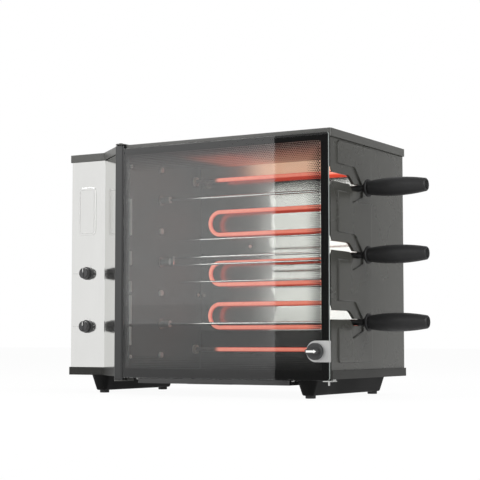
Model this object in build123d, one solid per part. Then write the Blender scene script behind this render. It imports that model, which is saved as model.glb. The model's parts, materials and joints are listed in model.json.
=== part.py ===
from build123d import *
from math import acos, cos, pi, radians, sin, tan
import os

# Electric skewer grill: a chamber with a glass door and three driven skewers,
# and a narrow control column on its left. All sizes are in millimetres.
# The working frame: x runs to the right from the cover's right edge (so the
# body lies at negative x), y runs back from the cover's front edge, and z
# runs up from the underside of the base.

# ---- Driving dimensions ----------------------------------------------------

# Casing
body_width = 606
body_depth = 316
body_height = 430
column_width = 82
column_setback = 65
angled_width = 78
sheet = 1.2
cover_lip = 14
base_lip = 15
wall_inset = 3.5
corner_radius = 4
foot_height = 34

# Hinge profile on the door's left edge, and the notch that it turns in
profile_width = 19
profile_depth = 12
profile_corner = 4
profile_overhang = 6
profile_top_gap = 1.5
profile_centre_y = -2
profile_wall = 2
turning_gap = 0.65
hinge_pin_radius = 2
plug_depth = 14
bracket_thickness = 2
bracket_seat = 22

# Door glass
glass_thickness = 4
glass_gap = 1
glass_margin = 2.5
glass_overhang = 2
glass_top_drop = 7
glass_corner = 5
glass_grip = 5

# Door latch
latch_inset = 24.5
latch_z = 47.5
latch_plate_height = 36.5
latch_plate_thickness = 1
latch_knob_radius = 14.5
latch_knob_depth = 8
latch_grip_depth = 11
latch_grip_width = 8.5
latch_grip_inset = 2.5
latch_shaft_radius = 4
latch_arm_length = 20
latch_arm_width = 9
latch_arm_thickness = 2.5
strike_thickness = 1.5
pointer_thickness = 0.6
turn_gap = 0.3
running_gap = 0.05

# Side wall: front flange, slots and pressed panel
wall_front = 5.5
front_flange = 9
rear_flange = 12
press_height = 2.5
press_front = 32
press_behind_axis = 49
press_bottom = 28
press_top_drop = 18
slot_roof = 19.5
slot_floor = 4
slot_corner = 8
slot_step_ahead = 39
slot_ramp_angle = 37
slot_bend_radius = 18
slot_edge_radius = 4
slot_rim = 4
seat_gap = 0.4
throat_gap = 1.4

# Bay of the pressed panel round a slot, from the skewer's axis
bay_lead = 12
bay_roof = 36
bay_turn_ahead = 21
bay_turn_top = 4
bay_behind = 11
bay_heel_drop = 15
bay_toe_ahead = 33
bay_toe_drop = 29
bay_floor_ahead = 41
bay_floor_drop = 11
bay_turn_radius = 20
bay_end_radius = 12
bay_corner_radius = 5

# Chamber lining
chamber_margin = 21
rear_space = 51.5
ceiling_drop = 16
lining = 1
guard_height = 82

# Heating element: the runs' spacing, from the top run down, is relative
tube_radius = 4
tube_standoff = 23
top_run_drop = 29
lowest_run_z = 49
run_steps = (64, 45, 56, 43, 39, 46, 43)
left_bend_inset = 59
right_bend_inset = 62
cold_end_length = 22
terminal_length = 9
insulator_radius = 9
insulator_length = 10
support_width = 12
support_overhang = 14

# Skewer axes and the gear train
gear_teeth = 34
pinion_teeth = 17
pressure_angle = 20
gear_backlash = 0.3
gear_width = 8
gear_side_gap = 1
gear_plate_gap = 15.5
gear_plate_margin = 12
gear_plate_reach = 36
axis_y = 118
lowest_bolt_z = 38.5
top_bolt_drop = 18.5
spindle_radius = 4.5
bush_radius = 7
bush_flange = 10
bush_length = 10
socket_radius = 6.5
socket_length = 18.7
socket_square = 4.8
tip_square = 4.2
bolt_radius = 4

# Gearmotor
gearbox_width = 60
gearbox_height = 76
gearbox_depth = 30
gearbox_wall = 3
output_wheel_radius = 24
output_wheel_teeth = 48
output_wheel_width = 7
stack_size = 52
stack_thickness = 18
coil_length = 30

# Skewers
rod_radius = 2.6
fork_rod_radius = 2
prong_radius = 1.6
fork_rod_offset = 7
prong_offset = 40
prong_tip_inset = 38
prong_point = 14
fork_bar_x = -78
fork_bar_width = 6
sleeve_radius = 5.5
sleeve_start = -72
guard_radius = 16
guard_thickness = 3.5
guard_x = 13
grip_length = 110
grip_root_radius = 12.5
grip_radius = 16.4
grip_end_radius = 11.5

# Controls
knob_radius = 12.5
knob_depth = 15
switch_offset = 1.5
switch_heights = (196.5, 93.5)
switch_size = 34
switch_depth = 26
switch_shaft_radius = 3
badge_offset = -2
badge_width = 42
badge_bottom = 271
badge_height = 94
badge_relief = 1.6

# Drip drawer and its runners
drawer_margin = 25
drawer_front = 4
drawer_rear_gap = 2.5
drawer_top = -2.6
drawer_depth = 9
drawer_flange = 5
drawer_sheet = 1
drawer_tab = 90
window_margin = 6

# Skids and feet
skid_width = 40
skid_taper = 18
skid_corner = 16
skid_round = 4
skid_margin = 8
skid_sheet = 1.5
right_skid_x = -57
left_skid_inset = 73
pad_radius = 9
pad_height = 5
pad_inset = 24

# Rear screws, vents and the cord's gland
screw_radius = 1.6
screw_inset = 25
vent_inset = 31
vent_width = 70
vent_bottom = 210
vent_pitch = 12
vent_height = 5
side_vent_front = 150
side_vent_width = 60
gland_inset = 46
gland_z = 45
gland_radius = 8
gland_bore = 3.6

# ---- Values that follow from them -------------------------------------------

fold_x = column_width - body_width
profile_left = fold_x + angled_width
profile_bottom = -profile_overhang
profile_top = body_height - profile_top_gap
chamber_left = profile_left + chamber_margin
chamber_back = body_depth - rear_space
ceiling_height = body_height - ceiling_drop

axis_pitch = (ceiling_height - top_bolt_drop - lowest_bolt_z) / 3
bolt_heights = [lowest_bolt_z + axis_pitch * index for index in range(4)]
axis_heights = [height + axis_pitch / 2 for height in bolt_heights[:3]]
idler_heights = bolt_heights[1:3]
gear_module = axis_pitch / 2 / gear_teeth
wheel_radius = gear_module * gear_teeth / 2
pinion_radius = gear_module * pinion_teeth / 2
pinion_y = axis_y + wheel_radius + pinion_radius

bush_right = chamber_left + lining * 3
gear_right = bush_right - bush_length - gear_side_gap
gear_left = gear_right - gear_width
gear_plate_x = gear_left - gear_plate_gap
socket_left = bush_right + turn_gap
socket_right = socket_left + socket_length
spindle_end = gear_plate_x - sheet * 3
tip_x = socket_left + turn_gap * 2
prong_tip_x = chamber_left + prong_tip_inset
gearbox_right = gear_plate_x - sheet
gearbox_left = gearbox_right - gearbox_depth

tube_y = chamber_back - tube_standoff
left_bend_x = chamber_left + left_bend_inset
right_bend_x = -right_bend_inset
cold_end_x = chamber_left - cold_end_length
run_scale = (ceiling_height - top_run_drop - lowest_run_z) / sum(run_steps)
run_heights = [ceiling_height - top_run_drop - run_scale * sum(run_steps[:index]) for index in range(8)]

pivot_x = profile_left + profile_width / 2
pivot_y = profile_centre_y
corner_reach = Vector(profile_width / 2 - profile_corner, profile_depth / 2 - profile_corner)
notch_reach = corner_reach.length + profile_corner + turning_gap
notch_left = pivot_x - notch_reach
notch_right = pivot_x + notch_reach
notch_back = pivot_y + notch_reach
column_slope = column_setback / angled_width
notch_corner_y = (profile_left - notch_left) * column_slope
hinge_bore = hinge_pin_radius + running_gap

glass_left = profile_left + profile_width - glass_grip
glass_right = -glass_margin
glass_bottom = -glass_overhang
glass_top = body_height - glass_top_drop
glass_back = -glass_gap
glass_front = glass_back - glass_thickness
latch_x = glass_right - latch_inset
latch_front = glass_front - latch_plate_thickness
knob_back = latch_front - turn_gap
knob_front = knob_back - latch_knob_depth - latch_grip_depth
pointer_front = knob_front - pointer_thickness
arm_front = wall_front + sheet + strike_thickness + turn_gap

wall_outside = -wall_inset
wall_inside = wall_outside - sheet
rear_outside = body_depth - wall_inset
rear_inside = rear_outside - sheet
roof_inside = body_height - sheet
press_rear = axis_y + press_behind_axis
seat_radius = sleeve_radius + seat_gap
slot_ramp = radians(slot_ramp_angle)
slot_step_y = axis_y - slot_step_ahead
throat_spare = sleeve_radius * 2 + throat_gap - (slot_roof - slot_floor) * cos(slot_ramp)
slot_bend_y = slot_step_y + throat_spare / sin(slot_ramp)
slot_throat_y = slot_bend_y + (slot_roof - seat_radius) / tan(slot_ramp)
slot_foot_y = slot_step_y + (slot_floor + seat_radius) / tan(slot_ramp)
press_top = body_height - press_top_drop
panel_face_y = column_setback + wall_inset
panel_back_y = panel_face_y + sheet
switch_x = column_width / 2 + switch_offset - body_width
badge_left = switch_x + badge_offset - badge_width / 2
grip_x = guard_x + guard_thickness
grip_end = grip_x + grip_length

left_skid_x = left_skid_inset - body_width
right_skid_ends = (skid_margin, body_depth - skid_margin)
left_skid_ends = (column_setback - skid_margin / 2, body_depth - skid_margin / 2)
skid_height = foot_height - pad_height
drawer_left = chamber_left + drawer_margin
drawer_right = right_skid_x - skid_width / 2 - drawer_flange - drawer_sheet * 2
drawer_back = chamber_back - drawer_rear_gap
drawer_bottom = drawer_top - drawer_depth
gland_x = gland_inset - body_width
vent_left = vent_inset - body_width

# The part's origin lies on the ground, midway between the outer limits
origin_x = (grip_end - body_width) / 2
origin_y = (body_depth + pointer_front) / 2
origin_z = -foot_height


# ---- Helpers -----------------------------------------------------------------

def span(x0, x1, y0, y1, z0, z1):
    """A block between two corners."""
    centre = Pos((x0 + x1) / 2, (y0 + y1) / 2, (z0 + z1) / 2)
    return centre * Box(x1 - x0, y1 - y0, z1 - z0)


def bar_x(x0, x1, y, z, radius):
    """A round bar along x."""
    return Pos((x0 + x1) / 2, y, z) * Rot(0, 90, 0) * Cylinder(radius, x1 - x0)


def bar_y(y0, y1, x, z, radius):
    """A round bar along y."""
    return Pos(x, (y0 + y1) / 2, z) * Rot(90, 0, 0) * Cylinder(radius, y1 - y0)


def bar_z(z0, z1, x, y, radius):
    """A round bar along z."""
    return Pos(x, y, (z0 + z1) / 2) * Cylinder(radius, z1 - z0)


def face_of(points):
    """A flat face inside a closed polygon."""
    return make_face(Polyline(*points, close=True))


def plate_yz(face, x0, x1):
    """A plate cut from a face drawn in y and z, between two x values."""
    return extrude(Plane.YZ.offset(x0) * face, x1 - x0)


def plate_xz(face, y0, y1):
    """A plate cut from a face drawn in x and z, between two y values."""
    return extrude(Plane.XZ.offset(-y1) * face, y1 - y0)


def nearest(shape, corners):
    """The corners of a flat face that lie nearest to the given points."""
    picked = []
    for x, y in corners:
        target = Vector(x, y, 0)
        picked.append(min(shape.vertices(), key=lambda v: (Vector(v.X, v.Y, 0) - target).length))
    return picked


def left_normal(start, end):
    """Unit vector to the left of the line from start to end."""
    along = (Vector(*end) - Vector(*start)).normalized()
    return Vector(-along.Y, along.X)


def parallel(points, gap):
    """The mitred polygon that runs inside a counterclockwise one."""
    inside = []
    for index, point in enumerate(points):
        before = left_normal(points[index - 1], point)
        after = left_normal(point, points[(index + 1) % len(points)])
        shift = (before + after) * (gap / (1 + before.dot(after)))
        inside.append((point[0] + shift.X, point[1] + shift.Y))
    return inside


def plan_points(inset):
    """Corners of the casing's plan: two right, two left, fold, hinge notch."""
    outline = [
        (0, 0),
        (0, body_depth),
        (-body_width, body_depth),
        (-body_width, column_setback),
        (fold_x, column_setback),
        (notch_left, notch_corner_y),
        (notch_left, notch_back),
        (notch_right, notch_back),
        (notch_right, 0),
    ]
    return parallel(outline, inset)


def plan_face(inset):
    """The casing's plan at a distance inside its outline, outer corners rounded."""
    points = plan_points(inset)
    face = face_of(points)
    return fillet(nearest(face, points[:4]), corner_radius - inset)


def tray(z_plate, z_lip):
    """A flat plate with a lip all round, towards z_lip."""
    inner_plate = z_plate + sheet if z_lip > z_plate else z_plate - sheet
    outside = extrude(Pos(0, 0, min(z_plate, z_lip)) * plan_face(0), abs(z_lip - z_plate))
    inside = extrude(Pos(0, 0, min(inner_plate, z_lip)) * plan_face(sheet), abs(z_lip - inner_plate))
    return outside - inside


def write(name, shape):
    """Moves a piece to the part's own origin and writes it."""
    placed = shape.moved(Location((-origin_x, -origin_y, -origin_z)))
    export_step(placed, f"parts/{name}.step")


# ---- Casing --------------------------------------------------------------------

def base_pan():
    """Base tray with the window that lets drippings into the drawer."""
    window = span(
        drawer_left + window_margin, drawer_right - window_margin,
        drawer_front + window_margin * 3, drawer_back - window_margin * 2, -1, sheet + 1,
    )
    return tray(0, base_lip) - window


def top_cover():
    """Cover with its lip turned down over the walls."""
    return tray(body_height, body_height - cover_lip)


def rounded_face(corners, rounds):
    """Flat face through corners, where rounds gives the radius at some of them."""
    face = face_of(corners)
    for index, radius in rounds.items():
        face = fillet(nearest(face, [corners[index]]), radius)
    return face


def slot_face(axis_z):
    """Slot that lets a skewer in from the front, down a ramp and back to its seat."""
    corners = [
        (-seat_radius, axis_z + slot_roof),
        (slot_bend_y, axis_z + slot_roof),
        (slot_throat_y, axis_z + seat_radius),
        (axis_y, axis_z + seat_radius),
        (axis_y, axis_z - seat_radius),
        (slot_foot_y, axis_z - seat_radius),
        (slot_step_y, axis_z + slot_floor),
        (-seat_radius, axis_z + slot_floor),
    ]
    rounds = {1: slot_bend_radius, 2: slot_edge_radius, 5: slot_edge_radius, 6: slot_edge_radius}
    return rounded_face(corners, rounds) + Pos(axis_y, axis_z) * Circle(seat_radius)


def slot_rims():
    """Edges of the slots, turned inwards behind their rounded mouths."""
    behind = wall_front + slot_corner
    rims = []
    for axis_z in axis_heights:
        ring = offset(slot_face(axis_z), sheet) - slot_face(axis_z)
        rim = plate_yz(ring, wall_inside - slot_rim, wall_inside)
        rims.append(rim & span(wall_inside - slot_rim, wall_inside, behind, rear_inside, sheet, roof_inside))
    return rims


def bay_face(axis_z):
    """Flat bay that the pressed panel leaves round a slot."""
    front = press_front - bay_lead
    back = axis_y + bay_behind
    corners = [
        (front, axis_z + bay_roof),
        (axis_y - bay_turn_ahead, axis_z + bay_roof),
        (back, axis_z + bay_turn_top),
        (back, axis_z - bay_heel_drop),
        (axis_y - bay_toe_ahead, axis_z - bay_toe_drop),
        (axis_y - bay_floor_ahead, axis_z - bay_floor_drop),
        (front, axis_z - bay_floor_drop),
    ]
    rounds = {
        1: bay_turn_radius, 2: bay_end_radius, 3: bay_corner_radius, 4: bay_corner_radius, 5: bay_corner_radius,
    }
    return rounded_face(corners, rounds)


def pressed_face(shrink):
    """Outline of the pressed panel, drawn in by a margin."""
    face = Pos((press_front + press_rear) / 2, (press_bottom + press_top) / 2) * RectangleRounded(
        press_rear - press_front - shrink * 2, press_top - press_bottom - shrink * 2, 5
    )
    for axis_z in axis_heights:
        face -= bay_face(axis_z)
    return face


def right_side_wall():
    """Wall with three skewer slots, a pressed panel and turned flanges."""
    sheet_points = [
        (wall_front, sheet), (rear_inside, sheet), (rear_inside, roof_inside), (wall_front, roof_inside),
    ]
    face = face_of(sheet_points)
    lips = []
    for axis_z in axis_heights:
        face -= slot_face(axis_z)
        lips += [(wall_front, axis_z + slot_roof), (wall_front, axis_z + slot_floor)]
    face = fillet(nearest(face, lips), slot_corner)
    wall = plate_yz(face, wall_inside, wall_outside)
    raised = plate_yz(pressed_face(0), wall_outside, wall_outside + press_height)
    edges = [edge for edge in raised.edges() if edge.center().X > wall_outside + press_height - 0.01]
    wall += fillet(edges, press_height * 0.6)
    for axis_z in axis_heights:
        wall -= plate_yz(slot_face(axis_z), wall_inside - 1, wall_outside + press_height + 1)
    for rim in slot_rims():
        wall += rim
    for low, high in flange_spans():
        wall += span(wall_inside - front_flange, wall_inside, wall_front, wall_front + sheet, low, high)
    wall += span(
        wall_inside - rear_flange, wall_inside, rear_inside - sheet, rear_inside, base_lip, roof_inside - cover_lip
    )
    return wall - rear_screw_holes()


def flange_spans():
    """Heights of the front flange's stretches, between the slots."""
    lows = [base_lip] + [height + slot_roof + slot_corner for height in axis_heights]
    highs = [height + slot_floor - slot_corner for height in axis_heights] + [body_height - cover_lip]
    return list(zip(lows, highs))


def left_side_wall():
    """Plain wall of the control column, with a flange at the rear."""
    outside = wall_inset - body_width
    wall = span(outside, outside + sheet, panel_back_y, rear_inside, sheet, roof_inside)
    flange = span(
        outside + sheet, outside + sheet + rear_flange, rear_inside - sheet, rear_inside,
        base_lip, roof_inside - cover_lip,
    )
    for row in range(6):
        height = base_lip + vent_pitch * (row + 2)
        vent_rear = side_vent_front + side_vent_width
        wall -= span(outside - 1, outside + sheet + 1, side_vent_front, vent_rear, height, height + vent_height)
    return wall + flange - rear_screw_holes()


def rear_screw_places():
    """Where the rear panel is screwed to the side walls' flanges."""
    left = wall_inset - body_width + rear_flange * 0.6
    right = wall_outside - rear_flange * 0.6
    heights = (base_lip + screw_inset, body_height / 2, body_height - cover_lip - screw_inset)
    return [(x, z) for x in (left, right) for z in heights]


def rear_screw_holes():
    """Holes through the rear panel and the flanges in front of it."""
    return [bar_y(rear_inside - sheet * 2, rear_outside + 1, x, z, screw_radius) for x, z in rear_screw_places()]


def rear_panel():
    """Rear sheet with vents behind the motor and the cord's gland hole."""
    panel = span(wall_inset - body_width, wall_outside, rear_inside, rear_outside, sheet, roof_inside)
    for row in range(7):
        height = vent_bottom + vent_pitch * row
        panel -= span(
            vent_left, vent_left + vent_width, rear_inside - 1, rear_outside + 1, height, height + vent_height
        )
    panel -= rear_screw_holes()
    return panel - bar_y(rear_inside - 1, rear_outside + 1, gland_x, gland_z, gland_radius)


def control_panel():
    """Bent steel sheet: flat front, angled face and the hinge recess."""
    outer = plan_points(wall_inset)[3:7]
    inner = plan_points(wall_inset + sheet)[3:7]
    recess_end = chamber_left - lining - turn_gap
    outer.append((recess_end, outer[3][1]))
    inner.append((recess_end, inner[3][1]))
    inner[0] = (outer[0][0], inner[0][1])
    panel = extrude(Pos(0, 0, sheet) * face_of(outer + inner[::-1]), roof_inside - sheet)
    fold = [edge for edge in panel.edges().filter_by(Axis.Z) if abs(edge.center().X - fold_x) < 6]
    panel = fillet(fold, corner_radius)
    for height in switch_heights:
        panel -= bar_y(panel_face_y - 1, panel_back_y + 1, switch_x, height, switch_shaft_radius + 0.5)
    badge = Pos(badge_left + badge_width / 2, badge_bottom + badge_height / 2) * RectangleRounded(
        badge_width, badge_height, 9
    )
    relief = plate_xz(badge, panel_face_y - badge_relief, panel_face_y)
    rim = [edge for edge in relief.edges() if edge.center().Y < panel_face_y - badge_relief + 0.01]
    return panel + fillet(rim, badge_relief * 0.6)


def case_screws():
    """Pan-head screws that hold the rear panel."""
    screws = []
    for x, z in rear_screw_places():
        shank = bar_y(rear_inside - sheet - 4, rear_outside, x, z, screw_radius)
        head = bar_y(rear_outside, rear_outside + 2, x, z, screw_radius * 2)
        cross = span(x - 2, x + 2, rear_outside + 1.2, rear_outside + 3, z - 0.4, z + 0.4)
        cross += span(x - 0.4, x + 0.4, rear_outside + 1.2, rear_outside + 3, z - 2, z + 2)
        screws.append(shank + head - cross)
    return Compound(children=screws)


def cord_gland():
    """Empty gland for the mains lead, low in the rear of the column."""
    collar = bar_y(rear_outside, body_depth - 0.5, gland_x, gland_z, gland_radius + 3)
    throat = bar_y(rear_inside - 8, rear_outside, gland_x, gland_z, gland_radius)
    return collar + throat - bar_y(rear_inside - 9, body_depth, gland_x, gland_z, gland_bore)


# ---- Chamber ---------------------------------------------------------------------

def chamber_left_wall():
    """Lining between the chamber and the gear train."""
    wall = span(
        chamber_left - lining, chamber_left, notch_back + wall_inset, rear_inside, sheet, roof_inside
    )
    for height in axis_heights:
        wall -= bar_x(chamber_left - 2, chamber_left + 1, axis_y, height, bush_radius)
    for height in bolt_heights:
        wall -= bar_x(chamber_left - 2, chamber_left + 1, axis_y, height, bolt_radius)
    for height in (run_heights[0], run_heights[-1]):
        wall -= bar_x(chamber_left - 2, chamber_left + 1, tube_y, height, insulator_radius - 2)
    return wall


def back_reflector():
    """Polished sheet behind the heating element."""
    return span(chamber_left, wall_inside, chamber_back, chamber_back + lining, guard_height, ceiling_height)


def lower_guard():
    """Dark enamelled sheet at the foot of the back."""
    return span(chamber_left, wall_inside, chamber_back - lining, chamber_back, sheet, guard_height + 4)


def chamber_ceiling():
    """Lining under the cover, its front edge turned up."""
    front = wall_front + sheet + 1
    plate = span(chamber_left, wall_inside, front, chamber_back, ceiling_height, ceiling_height + lining)
    return plate + span(
        notch_right + 4, wall_inside - front_flange - 1, front, front + lining, ceiling_height, roof_inside
    )


def element_path():
    """Centre line of the tube: eight runs joined by half circles."""
    edges = []
    x = cold_end_x
    for index, height in enumerate(run_heights):
        going_right = index % 2 == 0
        end = right_bend_x if going_right else left_bend_x
        if index == len(run_heights) - 1:
            end = cold_end_x
        edges.append(Line((x, tube_y, height), (end, tube_y, height)))
        if index < len(run_heights) - 1:
            below = run_heights[index + 1]
            middle = (height + below) / 2
            bulge = (height - below) / 2 if going_right else (below - height) / 2
            edges.append(ThreePointArc((end, tube_y, height), (end + bulge, tube_y, middle), (end, tube_y, below)))
        x = end
    return Wire(edges)


def heating_element():
    """One serpentine tube whose two cold ends pass into the column."""
    start = Plane(origin=(cold_end_x, tube_y, run_heights[0]), z_dir=(1, 0, 0))
    tube = sweep(start * Circle(tube_radius), path=element_path())
    for height in (run_heights[0], run_heights[-1]):
        tube += span(cold_end_x - terminal_length, cold_end_x, tube_y - 0.4, tube_y + 0.4, height - 3.2, height + 3.2)
    return tube


def element_insulators():
    """Ceramic collars that carry the tube's ends through the lining."""
    collars = []
    for height in (run_heights[0], run_heights[-1]):
        front = bar_x(chamber_left, chamber_left + insulator_length / 2, tube_y, height, insulator_radius)
        neck = bar_x(chamber_left - insulator_length, chamber_left, tube_y, height, insulator_radius - 2)
        bore = bar_x(chamber_left - insulator_length - 1, chamber_left + insulator_length, tube_y, height, tube_radius)
        collars.append(front + neck - bore)
    return Compound(children=collars)


def element_support():
    """Slotted strip on the back that carries the tube's right-hand side."""
    half = support_width / 2
    strip_x = right_bend_x - half
    strip_back = chamber_back - lining
    strip_front = strip_back - lining * 1.5
    top = run_heights[0] + support_overhang
    bottom = run_heights[-1] - support_overhang
    strip = span(strip_x - half, strip_x + half, strip_front, strip_back, bottom, top)
    for height in run_heights:
        arm_end = tube_y - tube_radius - lining * 3
        arm = span(strip_x - lining, strip_x + lining, arm_end, strip_front, height - tube_radius * 2, height)
        strip += arm - bar_x(strip_x - 2, strip_x + 2, tube_y, height, tube_radius)
    return strip + span(strip_x - half, strip_x + half, strip_back, chamber_back, guard_height + lining * 4, top)


# ---- Drive -------------------------------------------------------------------------

def involute(angle):
    """The involute function of an angle in radians."""
    return tan(angle) - angle


def gear_face(teeth, tooth_at, module):
    """Spur gear with involute flanks and one tooth centred at tooth_at degrees."""
    pitch = module * teeth / 2
    base = pitch * cos(radians(pressure_angle))
    root = pitch - 1.25 * module
    tip = pitch + module * 0.95
    half_at_pitch = pi / (2 * teeth) - gear_backlash / (2 * pitch)
    half_at_base = half_at_pitch + involute(radians(pressure_angle))
    start = max(base, root)
    radii = [start + (tip - start) * step / 3 for step in range(4)]
    points = []
    for tooth in range(teeth):
        middle = radians(tooth_at) + tooth * 2 * pi / teeth
        halves = [(radius, half_at_base - involute(acos(base / radius))) for radius in radii]
        flank = [(root, half_at_base)] + halves if root < base else halves
        points += [(radius * cos(middle - half), radius * sin(middle - half)) for radius, half in flank]
        points += [(radius * cos(middle + half), radius * sin(middle + half)) for radius, half in flank[::-1]]
    return face_of(points)


def gear(teeth, tooth_at, y, z, bore):
    """A gear between the lining and the gear plate."""
    wheel = plate_yz(Pos(y, z) * gear_face(teeth, tooth_at, gear_module), gear_left, gear_right)
    return wheel - bar_x(gear_left - 1, gear_right + 1, y, z, bore)


def gear_plate():
    """Plate in the column that carries the gear train, with two spacer posts."""
    front = axis_y - gear_plate_reach
    rear = pinion_y + gearbox_width / 2 + gear_plate_margin
    top = bolt_heights[3] + gear_plate_margin
    plate = span(gear_plate_x - sheet, gear_plate_x, front, rear, sheet, top)
    for height in (bolt_heights[0], bolt_heights[3]):
        plate += bar_x(gear_plate_x, chamber_left - lining, axis_y, height, bolt_radius + 2.5)
    for height in bolt_heights:
        plate -= bar_x(gear_plate_x - 2, chamber_left, axis_y, height, bolt_radius)
    for height in axis_heights:
        plate -= bar_x(gear_plate_x - 2, gear_plate_x + 1, axis_y, height, spindle_radius + running_gap)
    return plate - bar_x(gear_plate_x - 2, gear_plate_x + 1, pinion_y, axis_heights[1], spindle_radius + 2)


def bearing_bushes():
    """Flanged bushes in the lining for the three spindles."""
    bushes = []
    for height in axis_heights:
        body = bar_x(bush_right - bush_length, bush_right, axis_y, height, bush_radius)
        flange = bar_x(chamber_left, chamber_left + lining * 2, axis_y, height, bush_flange)
        bore = bar_x(bush_right - bush_length - 1, bush_right + 1, axis_y, height, spindle_radius + running_gap)
        bushes.append(body + flange - bore)
    return Compound(children=bushes)


def chamber_bolts():
    """Bolts through the lining and the gear plate; two are the idlers' axles."""
    bolts = []
    nut_left = gear_plate_x - sheet - 6
    for height in bolt_heights:
        head = bar_x(chamber_left, chamber_left + 4, axis_y, height, bolt_radius * 1.5)
        rim = [edge for edge in head.edges() if edge.center().X > chamber_left + 3.9]
        shank = bar_x(nut_left - 2, chamber_left, axis_y, height, bolt_radius)
        nut = plate_yz(Pos(axis_y, height) * RegularPolygon(bolt_radius * 1.8, 6), nut_left, gear_plate_x - sheet)
        bolts.append(fillet(rim, 1.5) + shank + nut)
    return Compound(children=bolts)


def gearbox_case():
    """Hollow gearbox on the plate's left face, with its output shaft's bearings."""
    middle = axis_heights[1]
    wall = gearbox_wall
    outer = gearbox_block(gearbox_left, gearbox_right, 0)
    inner = gearbox_block(gearbox_left + wall, gearbox_right - wall, wall)
    boss = bar_x(gearbox_left, gearbox_left + wall * 2, pinion_y, middle, spindle_radius + wall)
    bore = bar_x(gearbox_left + wall / 2, gearbox_right + 1, pinion_y, middle, spindle_radius + running_gap)
    return outer - inner + boss - bore


def gearbox_block(left, right, shrink):
    """Block with rounded edges about the output shaft, drawn in by shrink."""
    half_width = gearbox_width / 2 - shrink
    half_height = gearbox_height / 2 - shrink
    middle = axis_heights[1]
    block = span(
        left, right, pinion_y - half_width, pinion_y + half_width, middle - half_height, middle + half_height
    )
    return fillet(block.edges().filter_by(Axis.X), 8 - shrink)


def motor_stack():
    """Laminated core of the shaded-pole motor, on the gearbox's left face."""
    right = gearbox_left
    left = right - stack_thickness
    middle = axis_heights[1]
    core = span(left, right, pinion_y - stack_size / 2, pinion_y + stack_size / 2,
                middle - stack_size / 2, middle + stack_size / 2 + coil_length - 6)
    window_low = middle + stack_size / 2 - 2
    window_high = window_low + coil_length - 14
    for side in (-1, 1):
        inner = pinion_y + side * 8
        outer = pinion_y + side * (stack_size / 2 - 7)
        low_y, high_y = sorted((inner, outer))
        core -= span(left - 1, right + 1, low_y, high_y, window_low, window_high)
    return core - bar_x(left - 1, left + 4, pinion_y, middle, 11)


def motor_coil():
    """Winding on the core's middle leg."""
    right = gearbox_left
    middle_x = right - stack_thickness / 2
    window_low = axis_heights[1] + stack_size / 2 - 2
    window_high = window_low + coil_length - 14
    reach_x = stack_thickness / 2
    coil = span(middle_x - reach_x - 7, right - 0.5, pinion_y - 16, pinion_y + 16, window_low, window_high)
    return coil - span(middle_x - reach_x, right + 1, pinion_y - 8, pinion_y + 8, window_low - 1, window_high + 1)


def spindle(axis_z):
    """Driven spindle: a shaft with a square socket at its right end."""
    shaft = bar_x(spindle_end, socket_left, axis_y, axis_z, spindle_radius)
    socket = bar_x(socket_left, socket_right, axis_y, axis_z, socket_radius)
    half = socket_square / 2
    return shaft + socket - span(
        socket_left + turn_gap, socket_right + 1, axis_y - half, axis_y + half, axis_z - half, axis_z + half
    )


def motor_pinion():
    """Gearbox output shaft with its wheel in the gearbox and the pinion."""
    middle = axis_heights[1]
    pinion = gear(pinion_teeth, 180 + 180 / pinion_teeth, pinion_y, middle, spindle_radius)
    shaft = bar_x(gearbox_left + gearbox_wall / 2 + turn_gap, gear_right + 2, pinion_y, middle, spindle_radius)
    wheel_left = gearbox_left + gearbox_wall * 2 + turn_gap
    module = output_wheel_radius * 2 / output_wheel_teeth
    wheel_face = Pos(pinion_y, middle) * gear_face(output_wheel_teeth, 0, module)
    return pinion + shaft + plate_yz(wheel_face, wheel_left, wheel_left + output_wheel_width)


# ---- Skewers --------------------------------------------------------------------------

def square_tip(x0, x1, axis_z):
    """Square end that the socket drives."""
    half = tip_square / 2
    return span(x0, x1, axis_y - half, axis_y + half, axis_z - half, axis_z + half)


def single_rod(axis_z):
    """Plain skewer rod from its square tip into the grip."""
    shoulder = socket_right + 1
    rod = bar_x(shoulder, grip_x + grip_length * 0.4, axis_y, axis_z, rod_radius)
    return rod + square_tip(tip_x, shoulder, axis_z)


def fork_rod(axis_z):
    """Double rod with two pointed side prongs, joined by a bar at the right."""
    shoulder = socket_right + 1
    bar_left = fork_bar_x
    bar_right = fork_bar_x + fork_bar_width
    fork = bar_x(bar_right, grip_x + grip_length * 0.4, axis_y, axis_z, rod_radius)
    fork += span(bar_left, bar_right, axis_y - 2, axis_y + 2, axis_z - prong_offset - 3, axis_z + prong_offset + 3)
    fork += span(shoulder, shoulder + 7, axis_y - 2, axis_y + 2, axis_z - fork_rod_offset - 3,
                 axis_z + fork_rod_offset + 3)
    fork += square_tip(tip_x, shoulder, axis_z)
    for side in (-1, 1):
        fork += bar_x(shoulder + 3, bar_left + 1, axis_y, axis_z + side * fork_rod_offset, fork_rod_radius)
        prong_z = axis_z + side * prong_offset
        fork += bar_x(prong_tip_x + prong_point, bar_left + 1, axis_y, prong_z, prong_radius)
        point = Cone(0.3, prong_radius, prong_point)
        fork += Pos(prong_tip_x + prong_point / 2, axis_y, prong_z) * Rot(0, 90, 0) * point
    return fork


def turned(points, axis_z, hole_end):
    """A piece turned about a skewer's axis, bored for the rod up to hole_end."""
    profile = face_of(points)
    body = revolve(profile, Axis.X)
    body -= bar_x(points[0][0] - 1, hole_end, 0, 0, rod_radius)
    return Pos(0, axis_y, axis_z) * body


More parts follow.
